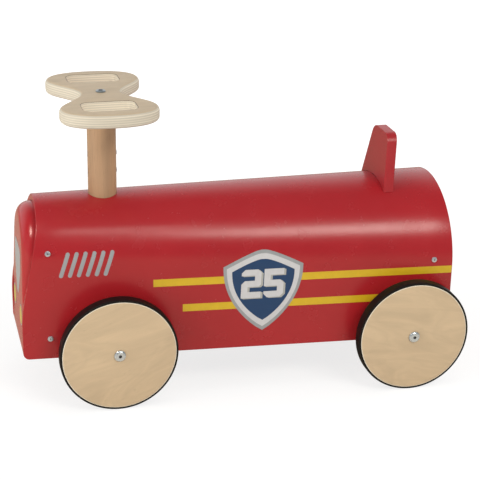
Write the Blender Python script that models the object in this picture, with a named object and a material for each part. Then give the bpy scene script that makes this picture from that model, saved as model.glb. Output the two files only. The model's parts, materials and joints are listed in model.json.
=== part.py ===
"""Wooden ride-on car: a bent plywood body on four wooden wheels, steered by a plywood handle.

Metres, +Z up. The car drives toward -X and its left side faces -Y. The origin lies on the
floor, in the middle of the car's length and width. Lengths called x below are measured
from the front axle toward the rear, and heights are measured from the floor.
"""
import math

import bmesh
import bpy
from mathutils import Matrix, Vector

# Fits
fit = 0.0003                     # gap between pieces that touch, and radial play of a bore
slot_play = 0.002                # room round the front axle in its two slots

# Wheels and axles
wheelbase = 0.3955
disc_radius = 0.075
tyre_wall = 0.0028
wheel_width = 0.0165
wheel_gap = 0.0165               # from the side wall to the inner face of a wheel
wheel_edge = 0.0008              # chamfer of the discs
tyre_crown = 0.0009              # how far the tyre swells from its edges to its middle
tyre_shoulder = 0.0035           # over this much of its width at both sides
wheel_steps = 40
bush_wall = 0.002
axle_radius = 0.005
axle_thread_radius = 0.003
axle_thread_depth = 0.018
spacer_wall = 0.0027
hub_bolt_length = 0.016
steer_limit = math.radians(6.5)

# Bent plywood shell
shell_thickness = 0.0085
shell_front = 0.12               # from the front axle forward to the shell's front edge
shell_rear = 0.0603              # from the rear axle back to the shell's rear edge
shell_clearance = 0.0617
front_lift = 0.0028              # the lower edge lies this much higher at the front
seat_height = 0.265
rear_half_width = 0.1066
wall_taper = 0.065               # half width lost per metre toward the front
arch_ratio = 0.96                # height of the arch over its half width
arch_steps = 32
front_setback = 0.0265           # how far the shell's front edge lies back at the top
setback_low = 0.1265
setback_high = 0.2527
setback_radius = 0.2
shell_corner = 0.008

# Boards inside the shell
board_thickness = 0.018
board_rise = 0.006               # from the shell's lower edge up to the boards
rear_recess = 0.0171             # from the shell's rear edge to the rear panel
nose_foot = 0.0261               # thickness of the nose at its foot
nose_lean = 0.031                # how much the nose leans back, per metre of height
nose_round_low = 0.003           # rounding of the nose's edge up to the first height
nose_round_high = 0.017          # and from the second height on
nose_round_heights = (0.13, 0.205)
nose_foot_round = 0.004
nose_round_steps = 4
beam_half = 0.02
guide_rise = 0.044               # from the axle up to the guide beam
rear_beam_drop = 0.014
rear_beam_rise = 0.028

# Steering
steering_x = -0.0023             # the steering axis lies just ahead of the front axle
column_radius = 0.01875
column_foot = 0.01               # below the bearing block
bearing_half = 0.03
bearing_depth = 0.036
rod_radius = 0.006
rod_above_screw = 0.0125
block_half = 0.018
block_drop = 0.015
block_end_gap = 0.012            # from the axle block to the walls, for the swing
rod_seat = 0.012                 # from the axle's centre up to the steering rod's end
rod_pin_radius = 0.0025
rod_pin_rise = 0.023
thrust_radius = 0.018
thrust_thickness = 0.003
collar_radius = 0.013
collar_height = 0.01
column_screw_drop = 0.0638       # from the handle's underside to the upper column screw
column_screw_pitch = 0.0238
column_screw_sink = 0.0012       # their heads lie almost flush with the column
column_edge = 0.0009             # chamfer at both ends of the column

# Handle
handle_rise = 0.1359             # from the seat to the handle's top
handle_thickness = 0.018
handle_half_length = 0.111
handle_half_width = 0.0622
handle_waist = 0.0273
lobe_centre = 0.0693
lobe_fullness = 2.34             # 2 is an ellipse, more is fuller
handle_round = 0.0055
handle_round_steps = 3
slot_length = 0.0675
slot_width = 0.041
slot_centre = 0.0685
slot_corner = 0.011
slot_chamfer = 0.0025
handle_bolt_length = 0.058
insert_radius = 0.005
insert_depth = 0.015

# Backrest
backrest_ahead = 0.0207          # from the rear axle forward to the backrest's front face
backrest_thickness = 0.0138
backrest_rise = 0.065            # above the seat
backrest_foot_half = 0.044
backrest_top_half = 0.0271
backrest_corner = 0.0145
backrest_lean = math.radians(6.6)
cleat_depth = 0.018
cleat_half = 0.015
backrest_screw_y = 0.022
backrest_screw_length = 0.052

# Screws and bolts
screw_head_radius = 0.0038
screw_head_height = 0.0016
screw_radius = 0.002
screw_length = 0.032
screw_socket_radius = 0.0011
screw_socket_depth = 0.0009
front_screw_low = 0.0312         # heights above the shell's lower edge
front_screw_high = 0.1493
rear_screw_high = 0.113
nose_screw_low = 0.06
nose_screw_high = 0.145
bolt_head_radius = 0.0075
bolt_head_height = 0.0026
bolt_socket_radius = 0.0023
bolt_socket_depth = 0.0018
handle_bolt_head = 0.0065
round_steps = 20
screw_steps = 10

# Derived places
tyre_radius = disc_radius + fit + tyre_wall
axle_height = tyre_radius * math.cos(math.pi / wheel_steps)
front_axle_x = -(wheelbase + axle_height - shell_front) / 2
shell_end = wheelbase + shell_rear
shell_inset = shell_thickness + fit
board_base = shell_clearance + board_rise
bulkhead_x = front_setback - shell_front
rear_panel_x = shell_end - rear_recess - board_thickness
backrest_x = wheelbase - backrest_ahead
guide_base = axle_height + guide_rise
block_top = guide_base - thrust_thickness - 2 * fit
bearing_base = seat_height - shell_thickness - bearing_depth
column_base = bearing_base - column_foot
handle_top = seat_height + handle_rise
column_top = handle_top - handle_thickness - fit
upper_screw_height = handle_top - handle_thickness - column_screw_drop
lower_screw_height = upper_screw_height - column_screw_pitch
rod_top = upper_screw_height + rod_above_screw
spacer_radius = axle_radius + fit + spacer_wall
sides = {"left": -1, "right": 1}


# Helpers

def at(x, y, z):
    """A world point, x behind the front axle and z above the floor."""
    return Vector((front_axle_x + x, y, z))


def wall_half_width(x):
    """Half the shell's outer width, x behind the front axle."""
    return rear_half_width - wall_taper * (shell_end - x)


def track(x):
    """Distance from the middle of the car to the outer face of a wheel whose axle is at x."""
    return wall_half_width(x) + wheel_gap + wheel_width


def clear_scene():
    for item in list(bpy.data.objects):
        bpy.data.objects.remove(item, do_unlink=True)


def material(name, colour, roughness, metallic=0.0):
    surface = bpy.data.materials.new(name)
    surface.use_nodes = True
    shader = surface.node_tree.nodes["Principled BSDF"]
    shader.inputs["Base Color"].default_value = (*colour, 1.0)
    shader.inputs["Roughness"].default_value = roughness
    shader.inputs["Metallic"].default_value = metallic
    surface.diffuse_color = (*colour, 1.0)
    return surface


def add_object(name, shape, colour=None, smooth=False):
    """Turn a bmesh in world space into a named object, with its faces pointing out."""
    bmesh.ops.recalc_face_normals(shape, faces=shape.faces)
    mesh = bpy.data.meshes.new(name)
    shape.to_mesh(mesh)
    shape.free()
    item = bpy.data.objects.new(name, mesh)
    bpy.context.scene.collection.objects.link(item)
    if colour is None:
        item.hide_render = True
        item.display_type = "WIRE"
    else:
        mesh.materials.append(colour)
    if smooth:
        mesh.shade_smooth()
        mesh.set_sharp_from_angle(angle=math.radians(35))
    return item


def pivot(name, place, parent=None):
    """An empty on a joint's axis, which carries the pieces that move about it."""
    empty = bpy.data.objects.new(name, None)
    bpy.context.scene.collection.objects.link(empty)
    empty.location = place
    if parent:
        empty.parent = parent
        empty.location = place - parent.location
    return empty


def carry(item, empty, place):
    """Hang an object on an empty and put its origin there, without moving its shape."""
    item.data.transform(Matrix.Translation(-place))
    item.parent = empty


def boolean(item, cutter, operation="DIFFERENCE"):
    cut = item.modifiers.new(cutter.name, "BOOLEAN")
    cut.operation = operation
    cut.solver = "EXACT"
    cut.object = cutter


def filleted(corners, steps=4):
    """Corners are (x, y, radius); the outline gets an arc of that radius at each of them."""
    outline = []
    for index, (x, y, radius) in enumerate(corners):
        corner = Vector((x, y))
        if radius == 0:
            outline.append(corner)
            continue
        back = (Vector(corners[index - 1][:2]) - corner).normalized()
        ahead = (Vector(corners[(index + 1) % len(corners)][:2]) - corner).normalized()
        half = back.angle(ahead) / 2
        centre = corner + (back + ahead).normalized() * radius / math.sin(half)
        start = corner + back * radius / math.tan(half) - centre
        end = corner + ahead * radius / math.tan(half) - centre
        swing = start.angle_signed(end)
        for step in range(steps + 1):
            outline.append(centre + Matrix.Rotation(-swing * step / steps, 2) @ start)
    return outline


def loft(loops):
    """A closed solid through loops of equally many points, capped at both ends."""
    shape = bmesh.new()
    rings = [[shape.verts.new(point) for point in loop] for loop in loops]
    shape.faces.new(rings[0])
    shape.faces.new(rings[-1])
    for near, far in zip(rings, rings[1:]):
        for index in range(len(near)):
            follow = (index + 1) % len(near)
            shape.faces.new((near[index], near[follow], far[follow], far[index]))
    return shape


def turned(profile, steps, closed=True, start=0.0):
    """Spin a profile of (radius, height) about the local Z axis."""
    shape = bmesh.new()
    points = [shape.verts.new((radius, 0, height)) for radius, height in profile]
    edges = [shape.edges.new(pair) for pair in zip(points, points[1:])]
    if closed:
        edges.append(shape.edges.new((points[-1], points[0])))
    bmesh.ops.spin(shape, geom=points + edges, cent=(0, 0, 0), axis=(0, 0, 1),
                   angle=math.tau, steps=steps, use_merge=True)
    bmesh.ops.remove_doubles(shape, verts=shape.verts, dist=1e-6)
    bmesh.ops.rotate(shape, verts=shape.verts, matrix=Matrix.Rotation(start, 3, "Z"))
    return shape


def aimed(shape, place, direction):
    """Move a shape made about the local Z axis to a place, with Z along a direction."""
    turn = Vector(direction).to_track_quat("Z", "Y").to_matrix().to_4x4()
    bmesh.ops.transform(shape, verts=shape.verts, matrix=Matrix.Translation(place) @ turn)
    return shape


def merge(shapes):
    """Put several closed shapes into one mesh, to serve as one cutter."""
    whole = bmesh.new()
    for shape in shapes:
        piece = bpy.data.meshes.new("piece")
        bmesh.ops.recalc_face_normals(shape, faces=shape.faces)
        shape.to_mesh(piece)
        shape.free()
        whole.from_mesh(piece)
        bpy.data.meshes.remove(piece)
    return whole


def cylinder(start, direction, length, radius, steps=screw_steps):
    """A rod, or the cutter of a round hole, that runs from a start point along a direction."""
    profile = [(0, 0), (radius, 0), (radius, length), (0, length)]
    return aimed(turned(profile, steps, closed=False), start, direction)


def tube(inner, outer, length, steps=round_steps):
    return turned([(inner, 0), (outer, 0), (outer, length), (inner, length)], steps)


# Fasteners

def screw(length=screw_length):
    """A pan-head screw: the underside of its head lies at height zero."""
    head, shank, socket = screw_head_radius, screw_radius, screw_socket_radius
    top = screw_head_height
    return turned([(0, -length), (shank, shank - length), (shank, 0), (head, 0),
                   (head * 0.8, top), (socket, top), (0, top - screw_socket_depth)],
                  screw_steps, closed=False)


def bolt(length, shank, head):
    """A flat-head bolt with a bevelled edge and a socket for a hexagon key."""
    top = bolt_head_height
    return turned([(0, -length), (shank, -length), (shank, 0), (head, 0), (head, top * 0.45),
                   (head - top * 0.5, top), (bolt_socket_radius, top),
                   (bolt_socket_radius, top - bolt_socket_depth), (0, top - bolt_socket_depth)],
                  round_steps, closed=False)


def skin(x, z, side):
    """A point on the shell's outer surface and the outward direction there."""
    half = wall_half_width(x)
    rise = arch_ratio * half
    above = max(0.0, z - (seat_height - rise)) / rise
    spread = math.sqrt(1 - above ** 2)
    outward = Vector((-wall_taper, side * spread / half, above / rise))
    outward.x *= spread / half
    return at(x, side * half * spread, z), outward.normalized()


def shell_screws():
    """Name, place and direction of each screw that holds the shell to a board inside it."""
    bulkhead_mid = bulkhead_x + board_thickness / 2
    rear_mid = rear_panel_x + board_thickness / 2
    guide_mid = guide_base + board_thickness / 2
    rear_beam_mid = axle_height + (axle_radius + rear_beam_rise) / 2
    spots = {
        "front_screw_upper": (bulkhead_mid, shell_clearance + front_screw_high),
        "front_screw_lower": (bulkhead_mid, shell_clearance + front_screw_low),
        "rear_screw_upper": (rear_mid, shell_clearance + rear_screw_high),
        "rear_screw_lower": (rear_mid, shell_clearance + front_screw_low),
        "guide_beam_screw": (steering_x, guide_mid),
        "axle_beam_screw": (wheelbase, rear_beam_mid),
    }
    for name, (x, z) in spots.items():
        for side_name, side in sides.items():
            place, outward = skin(x, z, side)
            yield f"{name}_{side_name}", place + outward * fit, outward


def nose_screws():
    """Name and place of the two screws that hold the nose from inside the bulkhead."""
    back = bulkhead_x + board_thickness + fit
    yield "nose_screw_upper", at(back, 0, shell_clearance + nose_screw_high)
    yield "nose_screw_lower", at(back, 0, shell_clearance + nose_screw_low)


def backrest_screws():
    """Name and place of the two screws that hold the backrest from under its cleat."""
    middle = backrest_x + backrest_thickness / 2
    height = seat_height - shell_thickness - cleat_depth - fit
    for side_name, side in sides.items():
        yield f"backrest_screw_{side_name}", at(middle, side * backrest_screw_y, height)


def fastener_holes():
    """One cutter that holds the hole of every screw in the body."""
    radius = screw_radius + fit
    holes = [cylinder(place + outward * screw_head_height, -outward,
                  screw_length + screw_head_height + fit, radius)
             for name, place, outward in shell_screws()]
    holes += [cylinder(place + Vector((screw_head_height, 0, 0)), (-1, 0, 0),
                   screw_length + screw_head_height + fit, radius)
              for name, place in nose_screws()]
    holes += [cylinder(place - Vector((0, 0, screw_head_height)), (0, 0, 1),
                   backrest_screw_length + screw_head_height + fit, radius)
              for name, place in backrest_screws()]
    return add_object("fastener_holes", merge(holes))


# Body

def section(x, inset, base):
    """The shell's outline across the car, from the left foot over the arch to the right."""
    half = wall_half_width(x)
    rise = arch_ratio * half
    spring = seat_height - rise
    first = math.asin(max(0.0, base - spring) / (rise - inset))
    outline = [(-(half - inset), base)] if base < spring else []
    for step in range(arch_steps + 1):
        turn = math.pi - first - (math.pi - 2 * first) * step / arch_steps
        outline.append(((half - inset) * math.cos(turn),
                        spring + (rise - inset) * math.sin(turn)))
    if base < spring:
        outline.append((half - inset, base))
    return outline


def arch_block(front, rear, inset, base):
    """A solid under the arch, between two places along the car."""
    return loft([[at(x, y, z) for y, z in section(x, inset, base)] for x in (front, rear)])


def cross_board(front, rear, base, top):
    """A board between the straight walls, whose ends follow their taper."""
    loops = []
    for x in (front, rear):
        half = wall_half_width(x) - shell_inset
        loops.append([at(x, -half, base), at(x, half, base), at(x, half, top), at(x, -half, top)])
    return loft(loops)


def shell_blank():
    """The bent sheet, longer than the shell at both ends."""
    loops = []
    for x in (-shell_front - board_thickness, shell_end + board_thickness):
        outer = section(x, 0, shell_clearance - board_thickness)
        inner = section(x, shell_thickness, shell_clearance - board_thickness)
        loops.append([at(x, y, z) for y, z in outer + inner[::-1]])
    return loft(loops)


def side_trim():
    """The shell's outline seen from the side, as a block across the whole car."""
    top = seat_height + board_thickness
    corners = [(bulkhead_x, top, 0), (bulkhead_x, setback_high, setback_radius),
               (-shell_front, setback_low, setback_radius),
               (-shell_front, shell_clearance + front_lift, shell_corner),
               (shell_end, shell_clearance, shell_corner), (shell_end, top, 0)]
    reach = 2 * rear_half_width
    return loft([[at(x, y, z) for x, z in filleted(corners)] for y in (-reach, reach)])


def axle_slot():
    """The opening in both walls that lets the front axle swing."""
    half_height = spacer_radius + slot_play
    half_length = half_height + wall_half_width(0) * math.tan(steer_limit)
    corners = [(x * half_length, axle_height + z * half_height, half_height * 0.999)
               for x, z in ((-1, -1), (1, -1), (1, 1), (-1, 1))]
    reach = 2 * rear_half_width
    return loft([[at(x, y, z) for x, z in filleted(corners, 6)] for y in (-reach, reach)])


def make_body(paint, bare, holes):
    shell = add_object("body_shell", shell_blank(), paint, smooth=True)
    boolean(shell, add_object("side_trim", side_trim()), "INTERSECT")
    reach = 2 * rear_half_width
    openings = merge([
        axle_slot(),
        cylinder(at(wheelbase, -reach, axle_height), (0, 1, 0), 2 * reach, axle_radius + fit,
             round_steps),
        cylinder(at(steering_x, 0, bearing_base), (0, 0, 1), bearing_depth * 2,
             column_radius + fit, 32),
    ])
    boolean(shell, add_object("shell_openings", openings))
    boolean(shell, holes)

    bulkhead = add_object("front_bulkhead", arch_block(
        bulkhead_x, bulkhead_x + board_thickness, shell_inset, board_base), bare)
    boolean(bulkhead, holes)
    rear_panel = add_object("rear_panel", arch_block(
        rear_panel_x, rear_panel_x + board_thickness, shell_inset, board_base), paint)
    boolean(rear_panel, holes)
    boolean(make_nose(paint), holes)

    guide = add_object("steering_guide_beam", cross_board(
        steering_x - beam_half, steering_x + beam_half, guide_base,
        guide_base + board_thickness), bare)
    boolean(guide, add_object("guide_bore", cylinder(
        at(steering_x, 0, guide_base - fit), (0, 0, 1), board_thickness * 2,
        rod_radius + fit, round_steps)))
    boolean(guide, holes)
    rear_beam = add_object("rear_axle_beam", cross_board(
        wheelbase - beam_half, wheelbase + beam_half, axle_height - rear_beam_drop,
        axle_height + rear_beam_rise), bare)
    boolean(rear_beam, bpy.data.objects["shell_openings"])
    boolean(rear_beam, holes)
    bearing = add_object("column_bearing_block", arch_block(
        steering_x - bearing_half, steering_x + bearing_half, shell_inset, bearing_base), bare)
    boolean(bearing, add_object("bearing_bore", cylinder(
        at(steering_x, 0, bearing_base - fit), (0, 0, 1), bearing_depth * 2,
        column_radius + fit, 32)))


def nose_rounding(z):
    """Small where the shell's front edge covers the nose's side, and full above it."""
    low, high = nose_round_heights
    share = min(1.0, max(0.0, (z - low) / (high - low)))
    return nose_round_low + (nose_round_high - nose_round_low) * share


def make_nose(paint):
    """The thick leaning board in front, whose edge rounds where it stands out of the shell."""
    back = bulkhead_x - fit
    foot = back - nose_foot
    guess = section(foot, shell_inset, board_base)
    loops = [[at(back, y, z) for y, z in section(back, shell_inset, board_base)]]
    for step in range(nose_round_steps + 1):
        turn = math.pi / 2 * step / nose_round_steps
        loop = []
        for index, (_, z) in enumerate(guess):
            depth = nose_rounding(z) * (1 - math.sin(turn))
            x = foot + nose_lean * (z - board_base) + depth
            y, z = section(x, shell_inset, board_base)[index]
            # The outline shrinks toward the arch's centre, or sideways on the straight walls
            above = max(0.0, z - seat_height + arch_ratio * wall_half_width(x))
            share = nose_rounding(z) * (1 - math.cos(turn)) / math.hypot(y, above)
            if z < board_base + fit:
                z += nose_foot_round * (1 - math.cos(turn))
            loop.append(at(x, y * (1 - share), z - above * share))
        loops.append(loop)
    return add_object("front_panel", loft(loops), paint, smooth=True)


def make_backrest(paint, bare, holes):
    """A leaning trapezoid whose foot follows the arch, and the cleat under the shell."""
    sink = backrest_foot_half                       # the blank reaches this far below the seat
    spread = (backrest_foot_half - backrest_top_half) / backrest_rise
    foot = backrest_foot_half + spread * sink
    corners = [(-foot, -sink, 0), (foot, -sink, 0),
               (backrest_top_half, backrest_rise, backrest_corner),
               (-backrest_top_half, backrest_rise, backrest_corner)]
    loops = []
    for depth in (0, backrest_thickness):
        loops.append([at(backrest_x + depth + math.tan(backrest_lean) * z, y, seat_height + z)
                      for y, z in filleted(corners, 6)])
    backrest = add_object("backrest", loft(loops), paint, smooth=True)
    seat = arch_block(backrest_x - sink, backrest_x + 2 * sink, -fit, shell_clearance)
    boolean(backrest, add_object("seat_surface", seat))
    boolean(backrest, holes)
    middle = backrest_x + backrest_thickness / 2
    cleat = add_object("backrest_cleat", arch_block(
        middle - cleat_half, middle + cleat_half, shell_inset,
        seat_height - shell_thickness - cleat_depth), bare)
    boolean(cleat, holes)


def make_screws(steel):
    for name, place, outward in shell_screws():
        add_object(name, aimed(screw(), place, outward), steel, smooth=True)
    for name, place in nose_screws():
        add_object(name, aimed(screw(), place, (1, 0, 0)), steel, smooth=True)
    for name, place in backrest_screws():
        add_object(name, aimed(screw(backrest_screw_length), place, (0, 0, -1)), steel,
                   smooth=True)


# Steering

def handle_outline():
    """Half width over the length, mirrored: a waist between two full lobes."""
    edge = []
    for step in range(9):
        y = lobe_centre * step / 8
        swell = (1 - math.cos(math.pi * step / 8)) / 2
        edge.append((handle_waist + (handle_half_width - handle_waist) * swell, y))
    reach = handle_half_length - lobe_centre
    for step in range(1, 9):
        turn = math.pi / 2 * step / 8
        edge.append((handle_half_width * math.cos(turn) ** (2 / lobe_fullness),
                     lobe_centre + reach * math.sin(turn) ** (2 / lobe_fullness)))
    far = edge + [(-x, y) for x, y in edge[-2::-1]]
    near = [(-x, -y) for x, y in far[1:-1]]
    return far + near


def shrunk(outline, amount):
    """A counterclockwise outline with each point moved inward by an amount."""
    result = []
    for index, (x, y) in enumerate(outline):
        before, after = outline[index - 1], outline[(index + 1) % len(outline)]
        along = Vector((after[0] - before[0], after[1] - before[1])).normalized()
        result.append((x - along.y * amount, y + along.x * amount))
    return result


def slot_cutter(side):
    """A rounded slot that opens a little toward both faces of the handle."""
    loops = []
    base = handle_top - handle_thickness
    for z, spread in ((base - fit, slot_chamfer + fit), (base + slot_chamfer, 0),
                      (handle_top - slot_chamfer, 0), (handle_top + fit, slot_chamfer + fit)):
        half_x = slot_length / 2 + spread
        half_y = slot_width / 2 + spread
        corners = [(steering_x + i * half_x, side * slot_centre + j * half_y,
                    slot_corner + spread)
                   for i, j in ((-1, -1), (1, -1), (1, 1), (-1, 1))]
        loops.append([at(x, y, z) for x, y in filleted(corners)])
    return loft(loops)


def make_handle(ply):
    base = handle_top - handle_thickness
    levels = []
    for step in range(handle_round_steps + 1):
        turn = math.pi / 2 * step / handle_round_steps
        levels.append((handle_round * (1 - math.cos(turn)), handle_round * (1 - math.sin(turn))))
    levels = [(base + rise, inset) for rise, inset in levels] + [
        (handle_top - rise, inset) for rise, inset in levels[::-1]]
    shape = loft([[at(steering_x + x, y, z) for x, y in shrunk(handle_outline(), inset)]
                  for z, inset in levels])
    handle = add_object("steering_handle", shape, ply, smooth=True)
    cuts = merge([slot_cutter(side) for side in sides.values()]
                 + [cylinder(at(steering_x, 0, base - fit), (0, 0, 1), 2 * handle_thickness,
                         axle_thread_radius + fit)])
    boolean(handle, add_object("handle_openings", cuts))
    return handle


def column_profile():
    """The dowel with the rod's bore in its foot and the insert's pocket in its top."""
    bore, pocket, thread = rod_radius + fit, insert_radius + fit, axle_thread_radius + fit
    floor = handle_top - handle_bolt_length - 2 * fit
    edge = column_edge
    return [(0, rod_top + fit), (bore, rod_top + fit), (bore, column_base),
            (column_radius - edge, column_base), (column_radius, column_base + edge),
            (column_radius, column_top - edge), (column_radius - edge, column_top),
            (pocket, column_top), (pocket, column_top - insert_depth - fit),
            (thread, column_top - insert_depth - fit), (thread, floor), (0, floor)]


def make_steering(ply, beech, steel, zinc, nylon):
    """Everything that turns with the handle, apart from the two front wheels."""
    centre = at(steering_x, 0, axle_height)
    empty = pivot("steering_pivot", centre)
    base = at(steering_x, 0, 0)
    up = (0, 0, 1)
    parts = [make_handle(ply)]
    parts.append(add_object("handle_bolt", aimed(
        bolt(handle_bolt_length, axle_thread_radius, handle_bolt_head),
        at(steering_x, 0, handle_top + fit), up), zinc, smooth=True))
    parts.append(add_object("column_insert", aimed(
        tube(axle_thread_radius + fit, insert_radius, insert_depth, screw_steps),
        at(steering_x, 0, column_top - insert_depth), up), zinc, smooth=True))

    column = add_object("steering_column", aimed(
        turned(column_profile(), 32, closed=False), base, up), beech, smooth=True)
    rod_end = axle_height + rod_seat
    rod = add_object("steering_rod", cylinder(
        at(steering_x, 0, rod_end), up, rod_top - rod_end, rod_radius, round_steps), steel,
        smooth=True)
    crossed = []
    for name, height in (("column_screw_upper", upper_screw_height),
                         ("column_screw_lower", lower_screw_height)):
        place = at(steering_x + column_radius - column_screw_sink + fit, 0, height)
        length = column_radius - column_screw_sink + rod_radius / 2
        parts.append(add_object(name, aimed(screw(length), place, (1, 0, 0)), zinc,
                                smooth=True))
        crossed.append(aimed(turned(
            [(0, -length - fit), (screw_radius + fit, -length - fit), (screw_radius + fit, -fit),
             (screw_head_radius + fit, -fit), (screw_head_radius + fit, column_radius),
             (0, column_radius)], screw_steps, closed=False), place, (1, 0, 0)))
    column_cuts = add_object("column_screw_holes", merge(crossed))
    boolean(column, column_cuts)
    boolean(rod, column_cuts)

    pin_height = axle_height + rod_pin_rise
    pin_start = at(steering_x - block_half, 0, pin_height)
    pin_cut = add_object("rod_pin_hole", cylinder(
        pin_start - Vector((fit, 0, 0)), (1, 0, 0), 2 * block_half + 2 * fit,
        rod_pin_radius + fit))
    boolean(rod, pin_cut)
    parts.append(add_object("rod_pin", cylinder(
        pin_start + Vector((fit, 0, 0)), (1, 0, 0), 2 * block_half - 2 * fit,
        rod_pin_radius), steel, smooth=True))
    parts.append(add_object("rod_collar", aimed(
        tube(rod_radius + fit, collar_radius, collar_height),
        at(steering_x, 0, guide_base + board_thickness + fit), up), steel, smooth=True))
    parts.append(add_object("thrust_washer", aimed(
        tube(rod_radius + fit, thrust_radius, thrust_thickness),
        at(steering_x, 0, block_top + fit), up), nylon, smooth=True))

    half_length = wall_half_width(0) - shell_inset - block_end_gap
    block = add_object("front_axle_block", loft(
        [[at(x, y, z) for y, z in ((-half_length, axle_height - block_drop),
                                   (half_length, axle_height - block_drop),
                                   (half_length, block_top), (-half_length, block_top))]
         for x in (steering_x - block_half, steering_x + block_half)]), beech)
    block_cuts = merge([
        cylinder(at(0, -half_length - fit, axle_height), (0, 1, 0), 2 * half_length + 2 * fit,
             axle_radius + fit, round_steps),
        cylinder(at(steering_x, 0, rod_end - fit), up, guide_rise, rod_radius + fit,
             round_steps)])
    boolean(block, add_object("block_bores", block_cuts))
    boolean(block, pin_cut)
    parts += [column, rod, block]
    parts += make_axle("front", 0, half_length + fit, steel, zinc, nylon)
    for part in parts:
        carry(part, empty, centre)
    return empty


# Wheels

def make_axle(name, x, spacer_start, steel, zinc, nylon):
    """An axle with its two spacers and the two bolts that keep the wheels on."""
    half = track(x)
    bore = axle_thread_radius + fit
    floor = half - axle_thread_depth
    profile = [(0, -floor), (bore, -floor), (bore, -half), (axle_radius, -half),
               (axle_radius, half), (bore, half), (bore, floor), (0, floor)]
    parts = [add_object(f"{name}_axle", aimed(
        turned(profile, round_steps, closed=False), at(x, 0, axle_height), (0, 1, 0)), steel,
        smooth=True)]
    spacer_length = half - wheel_width - fit - spacer_start
    for side_name, side in sides.items():
        parts.append(add_object(f"{name}_spacer_{side_name}", aimed(
            tube(axle_radius + fit, spacer_radius, spacer_length),
            at(x, side * spacer_start, axle_height), (0, side, 0)), nylon, smooth=True))
        parts.append(add_object(f"{name}_hub_bolt_{side_name}", aimed(
            bolt(hub_bolt_length, axle_thread_radius, bolt_head_radius),
            at(x, side * (half + fit), axle_height), (0, side, 0)), zinc, smooth=True))
    return parts


def make_wheel(name, x, side, parent, ply, rubber, nylon):
    """A plywood disc with its tyre and bush, all turning about the axle."""
    centre = at(x, side * (track(x) - wheel_width / 2), axle_height)
    empty = pivot(f"{name}_pivot", centre, parent)
    half, edge = wheel_width / 2, wheel_edge
    bore = axle_radius + fit
    hub = bore + bush_wall
    inner = disc_radius + fit
    shoulder = [(tyre_radius - tyre_crown * (1 - math.sin(turn)),
                 half - tyre_shoulder * (1 - math.cos(turn)))
                for turn in (0, math.pi / 6, math.pi / 3, math.pi / 2)]
    crown = [(radius, -height) for radius, height in shoulder] + shoulder[::-1]
    profiles = {
        "disc": (ply, wheel_steps, [
            (hub + fit, -half), (disc_radius - edge, -half), (disc_radius, edge - half),
            (disc_radius, half - edge), (disc_radius - edge, half), (hub + fit, half)]),
        "tyre": (rubber, wheel_steps, [(inner, -half)] + crown + [(inner, half)]),
        "bush": (nylon, round_steps, [(bore, -half), (hub, -half), (hub, half), (bore, half)]),
    }
    for part, (colour, steps, profile) in profiles.items():
        shape = aimed(turned(profile, steps, start=math.pi / steps), centre, (0, side, 0))
        carry(add_object(f"{name}_{part}", shape, colour, smooth=True), empty, centre)


def main():
    clear_scene()
    paint = material("red_lacquer", (0.42, 0.016, 0.022), 0.38)
    bare = material("bare_plywood", (0.62, 0.45, 0.27), 0.6)
    ply = material("birch_plywood", (0.64, 0.48, 0.30), 0.55)
    beech = material("beech", (0.46, 0.28, 0.15), 0.5)
    rubber = material("black_rubber", (0.02, 0.018, 0.017), 0.7)
    steel = material("steel", (0.55, 0.55, 0.55), 0.35, 1.0)
    zinc = material("zinc_plated_steel", (0.68, 0.70, 0.72), 0.28, 1.0)
    nylon = material("white_nylon", (0.75, 0.74, 0.70), 0.5)

    holes = fastener_holes()
    make_body(paint, bare, holes)
    make_backrest(paint, bare, holes)
    make_screws(zinc)
    steering = make_steering(ply, beech, steel, zinc, nylon)
    rear_start = wall_half_width(wheelbase) + 2 * fit + wall_taper * spacer_radius
    make_axle("rear", wheelbase, rear_start, steel, zinc, nylon)
    for side_name, side in sides.items():
        make_wheel(f"front_wheel_{side_name}", 0, side, steering, ply, rubber, nylon)
        make_wheel(f"rear_wheel_{side_name}", wheelbase, side, None, ply, rubber, nylon)


main()
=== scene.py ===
"""Looks of the wooden ride-on car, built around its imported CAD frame.

Lengths called x are measured from the front axle toward the rear, as in the CAD source.
"""
import json
import math

import bmesh
import bpy
from mathutils import Matrix, Vector


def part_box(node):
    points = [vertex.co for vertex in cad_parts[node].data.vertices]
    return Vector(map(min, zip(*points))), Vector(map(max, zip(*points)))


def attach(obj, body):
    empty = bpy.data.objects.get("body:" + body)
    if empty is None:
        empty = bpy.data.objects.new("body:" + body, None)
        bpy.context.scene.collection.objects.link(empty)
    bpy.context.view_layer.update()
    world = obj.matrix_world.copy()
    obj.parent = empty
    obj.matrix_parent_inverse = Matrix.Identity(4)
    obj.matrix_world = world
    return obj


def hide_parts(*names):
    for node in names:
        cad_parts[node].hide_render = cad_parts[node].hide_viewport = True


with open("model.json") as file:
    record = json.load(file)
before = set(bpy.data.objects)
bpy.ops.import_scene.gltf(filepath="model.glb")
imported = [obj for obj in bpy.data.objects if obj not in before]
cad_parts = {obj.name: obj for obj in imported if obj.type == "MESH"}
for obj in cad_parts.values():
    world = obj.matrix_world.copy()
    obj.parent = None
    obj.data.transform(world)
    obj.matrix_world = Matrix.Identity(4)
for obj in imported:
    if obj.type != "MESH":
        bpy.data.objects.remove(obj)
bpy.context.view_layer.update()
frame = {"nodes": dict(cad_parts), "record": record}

# Places and sizes of the CAD model, in metres
wheel_low, wheel_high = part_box("front_wheel_left_disc")
AXLE_X, AXLE_Z = ((wheel_low + wheel_high) / 2).xz
SIDES = {"left": -1, "right": 1}
SQUARE = ((-1, -1), (1, -1), (1, 1), (-1, 1))  # corners in turn
FIT = 0.0003  # clearance between pieces that only touch
WHEELBASE = 0.3955
WHEEL_HALF = 0.00825  # half of a disc's thickness
STEER_X = -0.0023  # the steering axis, just ahead of the front axle
STEER_LIMIT = math.radians(6.5)
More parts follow.
